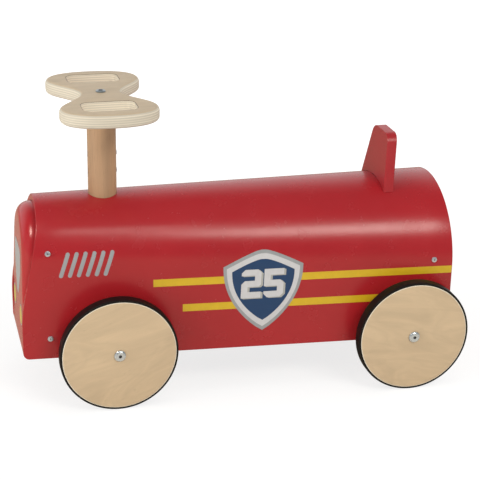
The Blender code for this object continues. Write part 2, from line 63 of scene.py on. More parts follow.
COLUMN_RADIUS = 0.01875
BOARD_HALF = 0.009  # half of the thickness of the inner boards
HUB_HEAD, SCREW_HEAD = 0.0026, 0.0016

# The shell: its sheet, its ends, its feet and its top
THICKNESS = 0.0085
SHELL_FRONT, SHELL_END = 0.12, 0.4558
TOP_FRONT = 0.0935  # its top starts here, ahead of the front axle
BASE, FRONT_LIFT, SEAT = 0.0617, 0.0028, 0.265
REAR_HALF, TAPER = 0.1066, 0.065  # half its width at the rear, and what it loses per length
ARCH_RATIO = 0.96  # rise of the arch over half the width
CORNER = 0.008  # rounding of its lower corners
EDGE_ROUND = 0.0007  # rounding of its cut edges
LENGTH_STEPS, EDGE_STEPS = 16, 4
CROWN = [-1 + step / 48 for step in range(97)]  # places across the arch

# The nose board: its back, the foot of its face, its lower edge and the lean of its face
NOSE_BACK = -TOP_FRONT - FIT
NOSE_FOOT, NOSE_BASE, NOSE_LEAN = NOSE_BACK - 0.0261, BASE + 0.006, 0.031

# Printed shapes: thickness of a film, its gap to what lies under it, and the step of a layer
FILM, FILM_GAP, FILM_STEP = 0.00012, 0.00002, 0.0001
SHIELD_X = 0.1955

# The world's light, apart from what the camera and reflections see
WORLD_LEVEL = 0.56


# Geometry helpers

def at(x, y, z):
    """A point of the scene, with x measured from the front axle."""
    return Vector((AXLE_X + x, y, z))


def half_width(x):
    """Half of the shell's width, which shrinks toward the front."""
    return REAR_HALF - TAPER * (SHELL_END - x)


def filleted(corners, steps=8):
    """Corners are (x, y, radius); the outline gets an arc of that radius at each of them."""
    outline = []
    for index, (x, y, radius) in enumerate(corners):
        corner = Vector((x, y))
        if radius == 0:
            outline.append(corner)
            continue
        back = (Vector(corners[index - 1][:2]) - corner).normalized()
        ahead = (Vector(corners[(index + 1) % len(corners)][:2]) - corner).normalized()
        half = back.angle(ahead) / 2
        centre = corner + (back + ahead).normalized() * radius / math.sin(half)
        start = corner + back * radius / math.tan(half) - centre
        end = corner + ahead * radius / math.tan(half) - centre
        swing = start.angle_signed(end)
        for step in range(steps + 1):
            outline.append(centre + Matrix.Rotation(-swing * step / steps, 2) @ start)
    return outline


def quarter(steps):
    """Angles from 0 to a right angle, in equal steps."""
    return [math.pi / 2 * step / steps for step in range(steps + 1)]


def raw_mesh(name, shape):
    """A bmesh turned into a mesh with its faces outward."""
    bmesh.ops.recalc_face_normals(shape, faces=shape.faces)
    mesh = bpy.data.meshes.new(name)
    shape.to_mesh(mesh)
    shape.free()
    return mesh


def mesh_of(name, shape, surfaces, smooth):
    """A smooth mesh with its materials, sharp where faces meet at more than an angle."""
    mesh = raw_mesh(name, shape)
    for surface in surfaces:
        mesh.materials.append(surface)
    mesh.shade_smooth()
    mesh.set_sharp_from_angle(angle=math.radians(smooth))
    return mesh


def linked(name, data):
    """A new object for a mesh, a lamp or a camera, linked to the scene."""
    item = bpy.data.objects.new(name, data)
    bpy.context.scene.collection.objects.link(item)
    return item


def new_piece(name, shape, surfaces, body, smooth=35):
    """A visible piece that rides on a CAD body."""
    piece = linked(name, mesh_of(name, shape, surfaces, smooth))
    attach(piece, body)
    return piece


def loft(loops):
    """A solid through loops of equally many points, capped at both ends."""
    shape = bmesh.new()
    rings = [[shape.verts.new(point) for point in loop] for loop in loops]
    shape.faces.new(rings[0])
    shape.faces.new(rings[-1])
    for near, far in zip(rings, rings[1:]):
        for index in range(len(near)):
            follow = (index + 1) % len(near)
            shape.faces.new((near[index], near[follow], far[follow], far[index]))
    return shape


def turned(profile, steps, closed=True):
    """Spin a profile of (radius, height) about the local Z axis."""
    shape = bmesh.new()
    points = [shape.verts.new((radius, 0, height)) for radius, height in profile]
    edges = [shape.edges.new(pair) for pair in zip(points, points[1:])]
    if closed:
        edges.append(shape.edges.new((points[-1], points[0])))
    bmesh.ops.spin(shape, geom=points + edges, cent=(0, 0, 0), axis=(0, 0, 1),
                   angle=math.tau, steps=steps, use_merge=True)
    bmesh.ops.remove_doubles(shape, verts=shape.verts, dist=1e-6)
    return shape


def facing(place, direction):
    """The matrix that moves the origin to a place and turns Z along a direction."""
    turn = Vector(direction).to_track_quat("Z", "Y").to_matrix().to_4x4()
    return Matrix.Translation(place) @ turn


def aimed(shape, place, direction):
    """Move a shape made about the local Z axis to a place, with Z along a direction."""
    bmesh.ops.transform(shape, verts=shape.verts, matrix=facing(place, direction))
    return shape


def rod(radius, low, high, steps, place, direction):
    """A round cutter along a direction, between two distances from its place."""
    profile = [(0, low), (radius, low), (radius, high), (0, high)]
    return aimed(turned(profile, steps, closed=False), place, direction)


def joined(shapes):
    """Several closed shapes in one, to serve as one cutter."""
    whole = bmesh.new()
    for shape in shapes:
        piece = raw_mesh("piece", shape)
        whole.from_mesh(piece)
        bpy.data.meshes.remove(piece)
    return whole


def carved(shape, cutter):
    """The shape without the cutter, as a new bmesh."""
    body = linked("body", raw_mesh("body", shape))
    tool = linked("cutter", raw_mesh("cutter", cutter))
    cut = body.modifiers.new("cut", "BOOLEAN")
    cut.operation, cut.solver, cut.object = "DIFFERENCE", "EXACT", tool
    graph = bpy.context.evaluated_depsgraph_get()
    result = bmesh.new()
    result.from_mesh(body.evaluated_get(graph).to_mesh())
    for item in (body, tool):
        bpy.data.objects.remove(item)
    return result


def ring(low, high, steps, radius, rim):
    """(radius, height) points of a side with both edges rounded by rim, from low to high."""
    arc = [(radius - rim * (1 - math.sin(turn)), rim * (1 - math.cos(turn)))
           for turn in quarter(steps)]
    return [(x, low + rise) for x, rise in arc] + [(x, high - rise) for x, rise in arc[::-1]]


# Node helpers

class Nodes:
    """A node tree under construction."""

    def __init__(self, tree):
        self.tree = tree

    def add(self, kind, settings=None, **sockets):
        node = self.tree.nodes.new(kind)
        for key, value in (settings or {}).items():
            setattr(node, key, value)
        for key, value in sockets.items():
            self.plug(node, key, value)
        return node

    def plug(self, node, key, value):
        """Set or link a socket by its name, or by its number after an underscore."""
        socket = node.inputs[int(key[1:]) if key[0] == "_" else key]
        if isinstance(value, bpy.types.NodeSocket):
            self.tree.links.new(value, socket)
        else:
            socket.default_value = value

    def math(self, operation, first, second=0.0, clamp=False):
        settings = {"operation": operation, "use_clamp": clamp}
        return self.add("ShaderNodeMath", settings, _0=first, _1=second).outputs[0]


class Recipe(Nodes):
    """A material under construction."""

    def __init__(self, name):
        self.material = bpy.data.materials.new(name)
        self.material.use_nodes = True
        super().__init__(self.material.node_tree)
        self.shader = self.tree.nodes["Principled BSDF"]
        self.place = self.add("ShaderNodeTexCoord").outputs["Object"]

    def stretched(self, scale, turn=(0, 0, 0)):
        """Object coordinates turned first and then scaled, so that grain can run askew."""
        return self.add("ShaderNodeMapping", {"vector_type": "TEXTURE"}, Vector=self.place,
                        Scale=tuple(1 / factor for factor in scale), Rotation=turn).outputs[0]

    def noise(self, vector, scale, detail=4.0, roughness=0.55, distortion=0.0):
        return self.add("ShaderNodeTexNoise", Vector=vector, Scale=scale, Detail=detail,
                        Roughness=roughness, Distortion=distortion).outputs["Fac"]

    def ramp(self, factor, *stops):
        """Map a factor through (position, value) stops, where a value is grey or a colour."""
        node = self.add("ShaderNodeValToRGB", Fac=factor)
        line = node.color_ramp
        while len(line.elements) < len(stops):
            line.elements.new(0.5)
        for element, (position, value) in zip(line.elements, stops):
            colour = value if isinstance(value, tuple) else (value, value, value)
            element.position = position
            element.color = (*colour, 1.0)
        return node.outputs["Color"]

    def mix(self, factor, first, second):
        """Mix two colours, whose sockets share their names with others and go by number."""
        node = self.add("ShaderNodeMix", {"data_type": "RGBA"}, Factor=factor)
        for key, value in (("_6", first), ("_7", second)):
            self.plug(node, key, (*value, 1.0) if isinstance(value, tuple) else value)
        return node.outputs[2]

    def mapped(self, value, *limits):
        """Map a value between two limits to between two others, and keep it there."""
        node = self.add("ShaderNodeMapRange", Value=value)
        for key, number in zip(("From Min", "From Max", "To Min", "To Max"), limits):
            self.plug(node, key, number)
        return node.outputs[0]

    def bump(self, height, strength, distance, normal=None):
        node = self.add("ShaderNodeBump", Height=height, Strength=strength, Distance=distance)
        if normal:
            self.plug(node, "Normal", normal)
        return node.outputs["Normal"]

    def finish(self, **sockets):
        """Fill the shader's sockets, named with underscores for spaces."""
        for key, value in sockets.items():
            self.plug(self.shader, key.replace("_", " "), value)
        return self.material


def shade(colour, factor):
    """A darker or lighter tone of a colour."""
    return tuple(min(1.0, channel * factor) for channel in colour)


def lacquer(name, colour, grain=(6, 160, 160), plies=None, roughness=0.25):
    """Satin paint on plywood: faint grain under it, a little orange peel, tone changes.

    plies is the number of layers that show through the paint of a cut edge.
    """
    recipe = Recipe(name)
    cloud = recipe.noise(recipe.place, 7.0, 3.0)
    tone = recipe.mix(recipe.ramp(cloud, (0.3, 0.0), (0.7, 1.0)), shade(colour, 0.94),
                      shade(colour, 1.05))
    fibre = recipe.noise(recipe.stretched(grain), 3.0, 5.0, 0.6)
    tone = recipe.mix(recipe.ramp(fibre, (0.42, 0.0), (0.75, 0.08)), tone, shade(colour, 0.72))
    peel = recipe.noise(recipe.place, 520.0, 2.0)
    normal = recipe.bump(fibre, 0.10, 0.0003)
    normal = recipe.bump(peel, 0.10, 0.0003, normal)
    if plies:
        depth = recipe.add("ShaderNodeAttribute", {"attribute_name": "depth"}).outputs["Fac"]
        wave = recipe.math("SINE", recipe.math("MULTIPLY", depth, math.tau * plies))
        wobble = recipe.noise(recipe.place, 90.0, 3.0)
        layers = recipe.math("MULTIPLY", wave, wobble)
        normal = recipe.bump(layers, 0.5, 0.0006, normal)
        tone = recipe.mix(recipe.ramp(layers, (0.2, 0.0), (0.7, 0.25)), tone,
                          shade(colour, 0.6))
    rough = recipe.mapped(recipe.noise(recipe.place, 40.0, 4.0), 0.0, 1.0,
                          roughness - 0.05, roughness + 0.07)
    return recipe.finish(Base_Color=tone, Roughness=rough, Normal=normal)


def face_veneer(recipe, colour, turn):
    """Rotary-cut birch: wide soft figure, fine fibres and a few short dark flecks."""
    figure = recipe.noise(recipe.stretched((5, 16, 16), turn), 1.6, 3.0, 0.45, 1.2)
    tone = recipe.ramp(figure, (0.30, shade(colour, 0.88)), (0.46, colour),
                       (0.54, shade(colour, 0.95)), (0.70, shade(colour, 1.06)))
    lines = recipe.noise(recipe.stretched((4, 20, 20), turn), 1.5, 2.0, 0.4, 1.2)
    tone = recipe.mix(recipe.ramp(lines, (0.43, 0.0), (0.5, 0.28), (0.57, 0.0)), tone,
                      shade(colour, 0.82))
    fibre = recipe.noise(recipe.stretched((40, 900, 900), turn), 1.0, 4.0, 0.6)
    tone = recipe.mix(recipe.ramp(fibre, (0.35, 0.0), (0.8, 0.22)), tone, shade(colour, 0.80))
    fleck = recipe.noise(recipe.stretched((110, 560, 560), turn), 1.0, 1.0, 0.4)
    tone = recipe.mix(recipe.ramp(fleck, (0.70, 0.0), (0.78, 0.22)), tone, shade(colour, 0.62))
    return tone, fibre


def birch(name, face, edge, axis, low, high, pitch, turn, skin=0.0011, rim=None):
    """Plywood: face veneer on both faces, and its layers wherever the edge is cut.

    axis is the direction through the board from low to high, pitch the thickness of a light and
    a dark ply, and skin that of the face veneer. rim is the centre of a turned disc and the
    radius where its rounded edge turns paler: the edge wood, brightened as a painted highlight.
    """
    recipe = Recipe(name)
    tone, fibre = face_veneer(recipe, face, turn)
    split = recipe.add("ShaderNodeSeparateXYZ", Vector=recipe.place)
    through = split.outputs[axis]
    scale = [14.0, 14.0, 14.0]
    scale[axis] = 700.0
    streak = recipe.noise(recipe.stretched(scale), 1.0, 4.0, 0.6)
    phase = recipe.math("ADD", recipe.math("MULTIPLY", through, math.tau / pitch),
                        recipe.math("MULTIPLY", streak, 1.6))
    band = recipe.ramp(recipe.math("SINE", phase), (0.0, 0.0), (0.35, 0.45), (1.0, 1.0))
    layers = recipe.mix(band, shade(edge, 0.80), shade(edge, 1.04))
    layers = recipe.mix(recipe.ramp(streak, (0.45, 0.0), (0.75, 0.35)), layers,
                        shade(edge, 0.66))
    inner = recipe.math("MULTIPLY", recipe.math("GREATER_THAN", through, low + skin),
                        recipe.math("LESS_THAN", through, high - skin))
    # Beyond the rim's radius the tone turns to the edge colour brightened: the paler edge wood
    # together with a painted highlight along the rounded rim.
    if rim:
        offset = recipe.add("ShaderNodeVectorMath", {"operation": "DISTANCE"},
                            _0=recipe.place, _1=tuple(rim[0])).outputs["Value"]
        tone = recipe.mix(recipe.math("GREATER_THAN", offset, rim[1]), tone, shade(edge, 1.12))
    colour = recipe.mix(inner, tone, layers)
    normal = recipe.bump(fibre, 0.12, 0.0003)
    normal = recipe.bump(recipe.math("MULTIPLY", band, inner), 0.15, 0.0002, normal)
    rough = recipe.ramp(fibre, (0.2, 0.44), (0.8, 0.58))
    return recipe.finish(Base_Color=colour, Roughness=rough, Normal=normal)


def solid_wood(name, colour, stretch):
    """Beech: fine straight grain with short brown ray flecks."""
    recipe = Recipe(name)
    figure = recipe.noise(recipe.stretched(tuple(70 * a for a in stretch)), 1.0, 4.0, 0.5, 0.8)
    tone = recipe.ramp(figure, (0.30, shade(colour, 0.88)), (0.55, colour),
                       (0.75, shade(colour, 1.08)))
    fibre = recipe.noise(recipe.stretched(tuple(620 * a for a in stretch)), 1.0, 3.0, 0.6)
    tone = recipe.mix(recipe.ramp(fibre, (0.40, 0.0), (0.8, 0.38)), tone, shade(colour, 0.72))
    fleck = recipe.noise(recipe.stretched(tuple(900 * a + 18 for a in stretch)), 1.0, 0.0)
    tone = recipe.mix(recipe.ramp(fleck, (0.68, 0.0), (0.76, 0.28)), tone, shade(colour, 0.62))
    normal = recipe.bump(fibre, 0.15, 0.0003)
    rough = recipe.ramp(fibre, (0.2, 0.41), (0.8, 0.54))
    return recipe.finish(Base_Color=tone, Roughness=rough, Normal=normal)


def ink(name, colour):
    """Printed film: flat colour with a trace of mottle and the lacquer's fine texture."""
    recipe = Recipe(name)
    mottle = recipe.noise(recipe.place, 160.0, 3.0)
    tone = recipe.mix(recipe.ramp(mottle, (0.3, 0.0), (0.7, 1.0)), shade(colour, 0.955),
                      shade(colour, 1.03))
    normal = recipe.bump(recipe.noise(recipe.place, 520.0, 2.0), 0.08, 0.0003)
    rough = recipe.ramp(mottle, (0.2, 0.32), (0.8, 0.41))
    return recipe.finish(Base_Color=tone, Roughness=rough, Normal=normal)


def metal(name, colour, roughness, scratch=(300, 300, 300), metallic=1.0):
    """Turned or plated metal: fine scratches and tone changes."""
    recipe = Recipe(name)
    grain = recipe.noise(recipe.stretched(scratch), 3.0, 4.0, 0.6)
    cloud = recipe.noise(recipe.place, 120.0, 3.0)
    tone = recipe.mix(cloud, shade(colour, 0.88), shade(colour, 1.08))
    rough = recipe.ramp(grain, (0.25, roughness - 0.06), (0.75, roughness + 0.10))
    normal = recipe.bump(grain, 0.06, 0.0002)
    return recipe.finish(Base_Color=tone, Roughness=rough, Normal=normal, Metallic=metallic)


def plain(name, colour, roughness, grain_scale, strength=0.2):
    """Rubber or moulded plastic: fine speckle and tone changes."""
    recipe = Recipe(name)
    speck = recipe.noise(recipe.place, grain_scale, 3.0)
    cloud = recipe.noise(recipe.place, 25.0, 3.0)
    tone = recipe.mix(cloud, shade(colour, 0.82), shade(colour, 1.2))
    normal = recipe.bump(speck, strength, 0.0003)
    rough = recipe.ramp(cloud, (0.3, roughness - 0.05), (0.7, roughness + 0.07))
    return recipe.finish(Base_Color=tone, Roughness=rough, Normal=normal,
                         Specular_IOR_Level=0.2)


# Colours and shared materials
RED = (0.395, 0.0135, 0.0195)
BIRCH_FACE = (0.640, 0.480, 0.300)
BIRCH_TOP = (0.560, 0.445, 0.305)
BIRCH_EDGE = (0.730, 0.660, 0.530)
BEECH = (0.480, 0.300, 0.170)
YELLOW = (0.660, 0.430, 0.012)
LAMP = (0.560, 0.420, 0.060)
BLUE = (0.006, 0.044, 0.130)
WHITE = (0.590, 0.585, 0.590)
SHADE_GREY = (0.400, 0.400, 0.370)
RIM_GREY = (0.315, 0.325, 0.330)
VENT_GREY = (0.335, 0.340, 0.350)

red = lacquer("red_paint", RED)
red_edge = lacquer("red_paint_edge", RED, plies=5)
red_board = lacquer("red_paint_board", RED, grain=(160, 6, 160), roughness=0.21)
red_back = lacquer("red_paint_back", RED, grain=(160, 6, 160), roughness=0.36)
beech = solid_wood("beech_column", BEECH, (1, 1, 0.045))
beech_block = solid_wood("beech_block", BEECH, (1, 0.045, 1))
rubber = plain("rubber", (0.0075, 0.007, 0.0068), 0.45, 420.0)
nylon = plain("nylon", (0.62, 0.61, 0.56), 0.45, 300.0, 0.1)
steel = metal("drawn_steel", (0.46, 0.46, 0.46), 0.34, (900, 30, 900))
zinc = metal("zinc_plate", (0.66, 0.74, 0.81), 0.27, metallic=0.7)
cap_steel = metal("cap_plate", (0.34, 0.39, 0.42), 0.30, metallic=0.7)
# Near-black metal for the inside of sockets and cross recesses: painted shade in the recesses.
socket_painted_shade = metal("socket_painted_shade", (0.10, 0.10, 0.11), 0.4, metallic=0.5)


# Bent plywood shell

# The front edge leans back between two bends. The last two points only close its outline.
BEND_HIGH, BEND_LOW, BEND_ROUND = 0.2527, 0.1265, 0.2
FRONT_EDGE = filleted([(-TOP_FRONT, SEAT + 0.02, 0), (-TOP_FRONT, BEND_HIGH, BEND_ROUND),
                       (-SHELL_FRONT, BEND_LOW, BEND_ROUND),
                       (-SHELL_FRONT, BASE + FRONT_LIFT, CORNER),
                       (0, BASE + FRONT_LIFT, 0), (0, SEAT + 0.02, 0)], 24)[:-2]


def front_edge(z):
    """Where the shell's front edge lies at a height."""
    for (x0, z0), (x1, z1) in zip(FRONT_EDGE, FRONT_EDGE[1:]):
        if z1 <= z <= z0:
            return x0 + (x1 - x0) * (z0 - z) / max(z0 - z1, 1e-9)
    return FRONT_EDGE[-1].x if z < SEAT / 2 else -TOP_FRONT


def rear_edge(z):
    """Where the shell's rear edge lies at a height."""
    rise = z - BASE
    if rise >= CORNER:
        return SHELL_END
    return SHELL_END - CORNER + math.sqrt(max(0.0, CORNER ** 2 - (CORNER - rise) ** 2))


def foot_height(x):
    """The height of the shell's lower edge, which rises toward the front."""
    return BASE + FRONT_LIFT * (SHELL_END - x) / (SHELL_END + SHELL_FRONT)


def rim_point(x, u, inset, base=None):
    """A point of the bent sheet. u runs from -2 at the left foot over 0 at the crown to 2."""
    half = half_width(x)
    base = foot_height(x) if base is None else base
    rise = ARCH_RATIO * half
    spring = SEAT - rise
    if abs(u) > 1:
        return at(x, math.copysign(half - inset, u),
                  base + (2 - abs(u)) * (spring - base))
    turn = u * math.pi / 2
    return at(x, (half - inset) * math.sin(turn), spring + (rise - inset) * math.cos(turn))


def limit(edge, u, inset):
    """Where an edge cuts the sheet at u. The height depends on x, so it is found by repeating."""
    x = 0.0
    for _ in range(12):
        x = edge(rim_point(x, u, inset).z)
    return x


def shell_loop(u, sink):
    """The sheet's outline lengthwise and through its thickness, at one place around it."""
    points = []
    for inset, order in ((sink, 1), (THICKNESS - sink, -1)):
        front = limit(front_edge, u, inset)
        rear = limit(rear_edge, u, inset)
        arc = [(EDGE_ROUND * (1 - math.sin(turn)),
                inset + order * EDGE_ROUND * (1 - math.cos(turn)))
               for turn in quarter(EDGE_STEPS)]
        line = [(front + x, depth) for x, depth in arc[::-1]]
        for step in range(1, LENGTH_STEPS):
            line.append((front + EDGE_ROUND
                         + (rear - front - 2 * EDGE_ROUND) * step / LENGTH_STEPS, inset))
        line += [(rear - x, depth) for x, depth in arc]
        points += line[::order]
    return points


def make_shell():
    """The bent sheet, with holes for the column, the swing of the front axle and the rear axle."""
    shape = bmesh.new()
    depth = shape.verts.layers.float.new("depth")
    height = SEAT - ARCH_RATIO * half_width(0.2) - BASE  # of a wall, near the middle
    lifts = [EDGE_ROUND * (1 - math.cos(turn)) for turn in quarter(3)]
    lifts += [CORNER * (1 - math.cos(turn)) for turn in quarter(10)[3:]]
    lifts += [CORNER + (height - CORNER) * k / 12 for k in range(1, 12)]
    foot = [(-2 + lift / height, lift) for lift in lifts]
    stations = foot + [(u, 1.0) for u in CROWN] + [(-u, lift) for u, lift in foot[::-1]]
    rings = []
    for u, lift in stations:
        sink = 0.0
        if lift < EDGE_ROUND:
            sink = EDGE_ROUND - math.sqrt(EDGE_ROUND ** 2 - (EDGE_ROUND - lift) ** 2)
        ring_points = []
        for x, inset in shell_loop(u, sink):
            vert = shape.verts.new(rim_point(x, u, inset))
            vert[depth] = inset / THICKNESS
            ring_points.append(vert)
        rings.append(ring_points)
    count = len(rings[0])
    side = count // 2
    for cap in (rings[0], rings[-1]):
        for index in range(side - 1):
            shape.faces.new((cap[index], cap[index + 1], cap[count - 2 - index],
                             cap[count - 1 - index])).material_index = 1
    for near, far in zip(rings, rings[1:]):
        for index in range(count):
            follow = (index + 1) % count
            face = shape.faces.new((near[index], near[follow], far[follow], far[index]))
            place = index % side
            if place < EDGE_STEPS or place > side - EDGE_STEPS - 2:
                face.material_index = 1
    half_height, bore_radius, reach = 0.010, 0.0053, 0.2
    half_length = half_height + half_width(0) * math.tan(STEER_LIMIT)
    outline = filleted([(i * half_length, AXLE_Z + j * half_height, half_height * 0.999)
                        for i, j in SQUARE])
    hole = rod(COLUMN_RADIUS + FIT, -0.03, 0.03, 96, at(STEER_X, 0, SEAT), (0, 0, 1))
    slot = loft([[at(x, y, z) for x, z in outline] for y in (-reach, reach)])
    bore = rod(bore_radius, -reach, reach, 32, at(WHEELBASE, 0, AXLE_Z), (0, 1, 0))
    shape = carved(shape, joined([hole, slot, bore]))
    shell = new_piece("shell", shape, [red, red_edge], "chassis")
    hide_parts("body_shell")


# Nose board and backrest

def make_nose():
    """The thick nose board. Its rounding grows with the height, up to the shell's crown."""
    under = 0.004
    inset = THICKNESS + FIT
    stations = [-2 + k / 10 for k in range(10)] + [-1 + k / 40 for k in range(81)]
    stations += [1 + k / 10 for k in range(1, 11)]
    loops = []
    for level, turn in enumerate([0.0] + quarter(8)):
        loop = []
        for u in stations:
            across = nose_rounding(rim_point(NOSE_FOOT, u, inset, NOSE_BASE).z)
            depth = across * (1 - math.sin(turn))
            narrow = across * (1 - math.cos(turn))
            lift = under * (1 - math.cos(turn))
            point = rim_point(NOSE_FOOT, u, inset + narrow, NOSE_BASE + lift)
            x = NOSE_BACK if level == 0 else nose_face(point.z) + depth
            loop.append(rim_point(x, u, inset + narrow, NOSE_BASE + lift))
        loops.append(loop)
    nose = new_piece("nose", loft(loops), [red_board], "chassis", 50)
    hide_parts("front_panel")


def nose_face(z):
    """Where the nose board's leaning face lies at a height."""
    return NOSE_FOOT + NOSE_LEAN * (z - NOSE_BASE)


def nose_rounding(height):
    """Small where the shell's edge covers the nose's side, and full above it."""
    low, full, small, large = 0.130, 0.205, 0.003, 0.017
    share = min(1.0, max(0.0, (height - low) / (full - low)))
    return small + (large - small) * share


def make_backrest():
    """The leaning backrest, cut to the curve of the seat with a thin seam."""
    front, thickness, rise, lean = WHEELBASE - 0.0207, 0.0138, 0.065, math.radians(6.6)
    foot_half, top_half, corner = 0.044, 0.0271, 0.0145
    edge_round, sink, seam = 0.0013, 0.012, 0.0004
    foot = foot_half + (foot_half - top_half) / rise * sink
    outline = filleted([(-foot, -sink, 0), (foot, -sink, 0), (top_half, rise, corner),
                        (-top_half, rise, corner)], 12)
    shape = loft([[at(front + depth + math.tan(lean) * z, y, SEAT + z) for y, z in outline]
                  for depth in (0, thickness)])
    rims = [edge for edge in shape.edges
            if max(vert.co.z for vert in edge.verts) > SEAT and len(edge.link_faces) == 2
            and any(len(face.verts) > 8 for face in edge.link_faces)]
    bmesh.ops.bevel(shape, geom=rims, offset=edge_round, offset_type="OFFSET", segments=4,
                    profile=0.5, affect="EDGES", clamp_overlap=True)
    seat = loft([[rim_point(x, u, -seam) for u in CROWN] for x in (front - 0.02, front + 0.05)])
    backrest = new_piece("backrest_board", carved(shape, seat), [red_back], "chassis",
                         20)
    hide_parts("backrest")


# Wheels

def make_wheel(name, centre, grain):
    """A plywood disc in a thin rubber band with a crowned tread. Its rounded rim is painted
    paler, partly the edge wood and partly a painted highlight.
    """
    outward = (0, SIDES[name.rpartition("_")[2]], 0)
    bore, disc_radius, rim, steps, pitch, skin = 0.0076, 0.075, 0.0011, 160, 0.0030, 0.0004
    half = WHEEL_HALF
    disc = turned([(bore, -half)] + ring(-half, half, 5, disc_radius, rim) + [(bore, half)], steps)
    # The rim is painted paler beyond its radius: the edge wood and a painted highlight.
    face = birch(f"{name}_birch", BIRCH_FACE, BIRCH_EDGE, 1, centre.y - half, centre.y + half,
                 pitch, (0, grain, 0), skin, (centre, math.hypot(disc_radius - rim, half)))
    piece = new_piece(f"{name}_plywood", aimed(disc, centre, outward), [face], name)
    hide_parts(f"{name}_disc")
    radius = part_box(f"{name}_tyre")[1].z - AXLE_Z
    crown, shoulder, recess = 0.0009, 0.0035, 0.0002
    half = WHEEL_HALF - recess
    tread = [(radius - crown * (1 - math.sin(turn)), half - shoulder * (1 - math.cos(turn)))
             for turn in quarter(8)]
    inner = disc_radius + FIT / 2
    profile = [(inner, -half)] + [(r, -h) for r, h in tread] + tread[::-1] + [(inner, half)]
    piece = new_piece(f"{name}_band", aimed(turned(profile, steps), centre, outward), [rubber],
                      name, 60)
    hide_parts(f"{name}_tyre")


# Bolts and screws, made about the local Z axis with the underside of the head at its zero

def hex_bolt(head, top, socket):
    """A bolt head with a wide bevel and a hexagon socket, on a short shank.

    head and socket are their radii, and top is the height of the head.
    """
    shank, length, edge, depth = 0.003, 0.004, 0.0002, 0.0018
    shape = turned([(0, -length), (shank, -length), (shank, 0), (head - edge, 0),
                    (head, edge), (head, top * 0.42), (head - edge, top * 0.52),
                    (head - top * 0.62, top * 0.97), (head - top * 0.72, top), (0, top)],
                   64, closed=False)
    key = loft([[Vector((socket * math.cos(turn), socket * math.sin(turn), z))
                 for turn in (math.pi / 3 * k for k in range(6))]
                for z in (top - depth, top + 0.001)])
    shape = carved(shape, key)
    # The socket's faces get the second material, a painted shade inside the recess.
    for face in shape.faces:
        if all(math.hypot(vert.co.x, vert.co.y) < socket * 1.001 for vert in face.verts):
            face.material_index = 1
    return shape


def cross_screw():
    """A pan-head screw with a cross recess, on a short shank."""
    head, top, shank, length, edge = 0.0038, SCREW_HEAD, 0.002, 0.003, 0.0001
    long, short, depth = 0.0018, 0.0004, 0.0010
    shape = turned([(0, -length), (shank, -length), (shank, 0), (head - edge, 0),
                    (head, edge), (head * 0.97, top * 0.45), (head * 0.86, top * 0.80),
                    (head * 0.66, top * 0.96), (0, top)], 40, closed=False)
    for wide, tall in ((long, short), (short, long)):
        arm = loft([[Vector((i * wide * s, j * tall * s, z)) for i, j in SQUARE]
                    for z, s in ((top - depth, 0.55), (top + short, 1.1))])
        shape = carved(shape, arm)
    # Faces inside the cross recess get the second material, a painted shade.
    for face in shape.faces:
        middle = face.calc_center_median()
        if math.hypot(middle.x, middle.y) < long and 0 < middle.z < top - short:
            face.material_index = 1
    return shape


def copy_of(mesh, name, place, direction, body, node):
    """Another piece with a fastener's mesh, in the place of a CAD node."""
    piece = linked(name, mesh)
    piece.matrix_world = facing(place, direction)
    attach(piece, body)
    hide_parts(node)


# Handle and column

def handle_outline():
    """Half width over the length, mirrored: a waist between two full lobes."""
    waist, half, lobe, reach, fullness, steps = 0.0273, 0.0622, 0.0693, 0.0417, 2.34, 24
    edge = []
    for step in range(steps + 1):
        swell = (1 - math.cos(math.pi * step / steps)) / 2
        edge.append((waist + (half - waist) * swell, lobe * step / steps))
    for turn in quarter(steps)[1:]:
        edge.append((half * math.cos(turn) ** (2 / fullness),
                     lobe + reach * math.sin(turn) ** (2 / fullness)))
    far = edge + [(-x, y) for x, y in edge[-2::-1]]
    near = [(-x, -y) for x, y in far[1:-1]]
    return far + near


def shrunk(outline, amount):
    """A counterclockwise outline with each point moved inward by an amount."""
    result = []
    for index, (x, y) in enumerate(outline):
        before, after = outline[index - 1], outline[(index + 1) % len(outline)]
        along = Vector((after[0] - before[0], after[1] - before[1])).normalized()
        result.append((x - along.y * amount, y + along.x * amount))
    return result


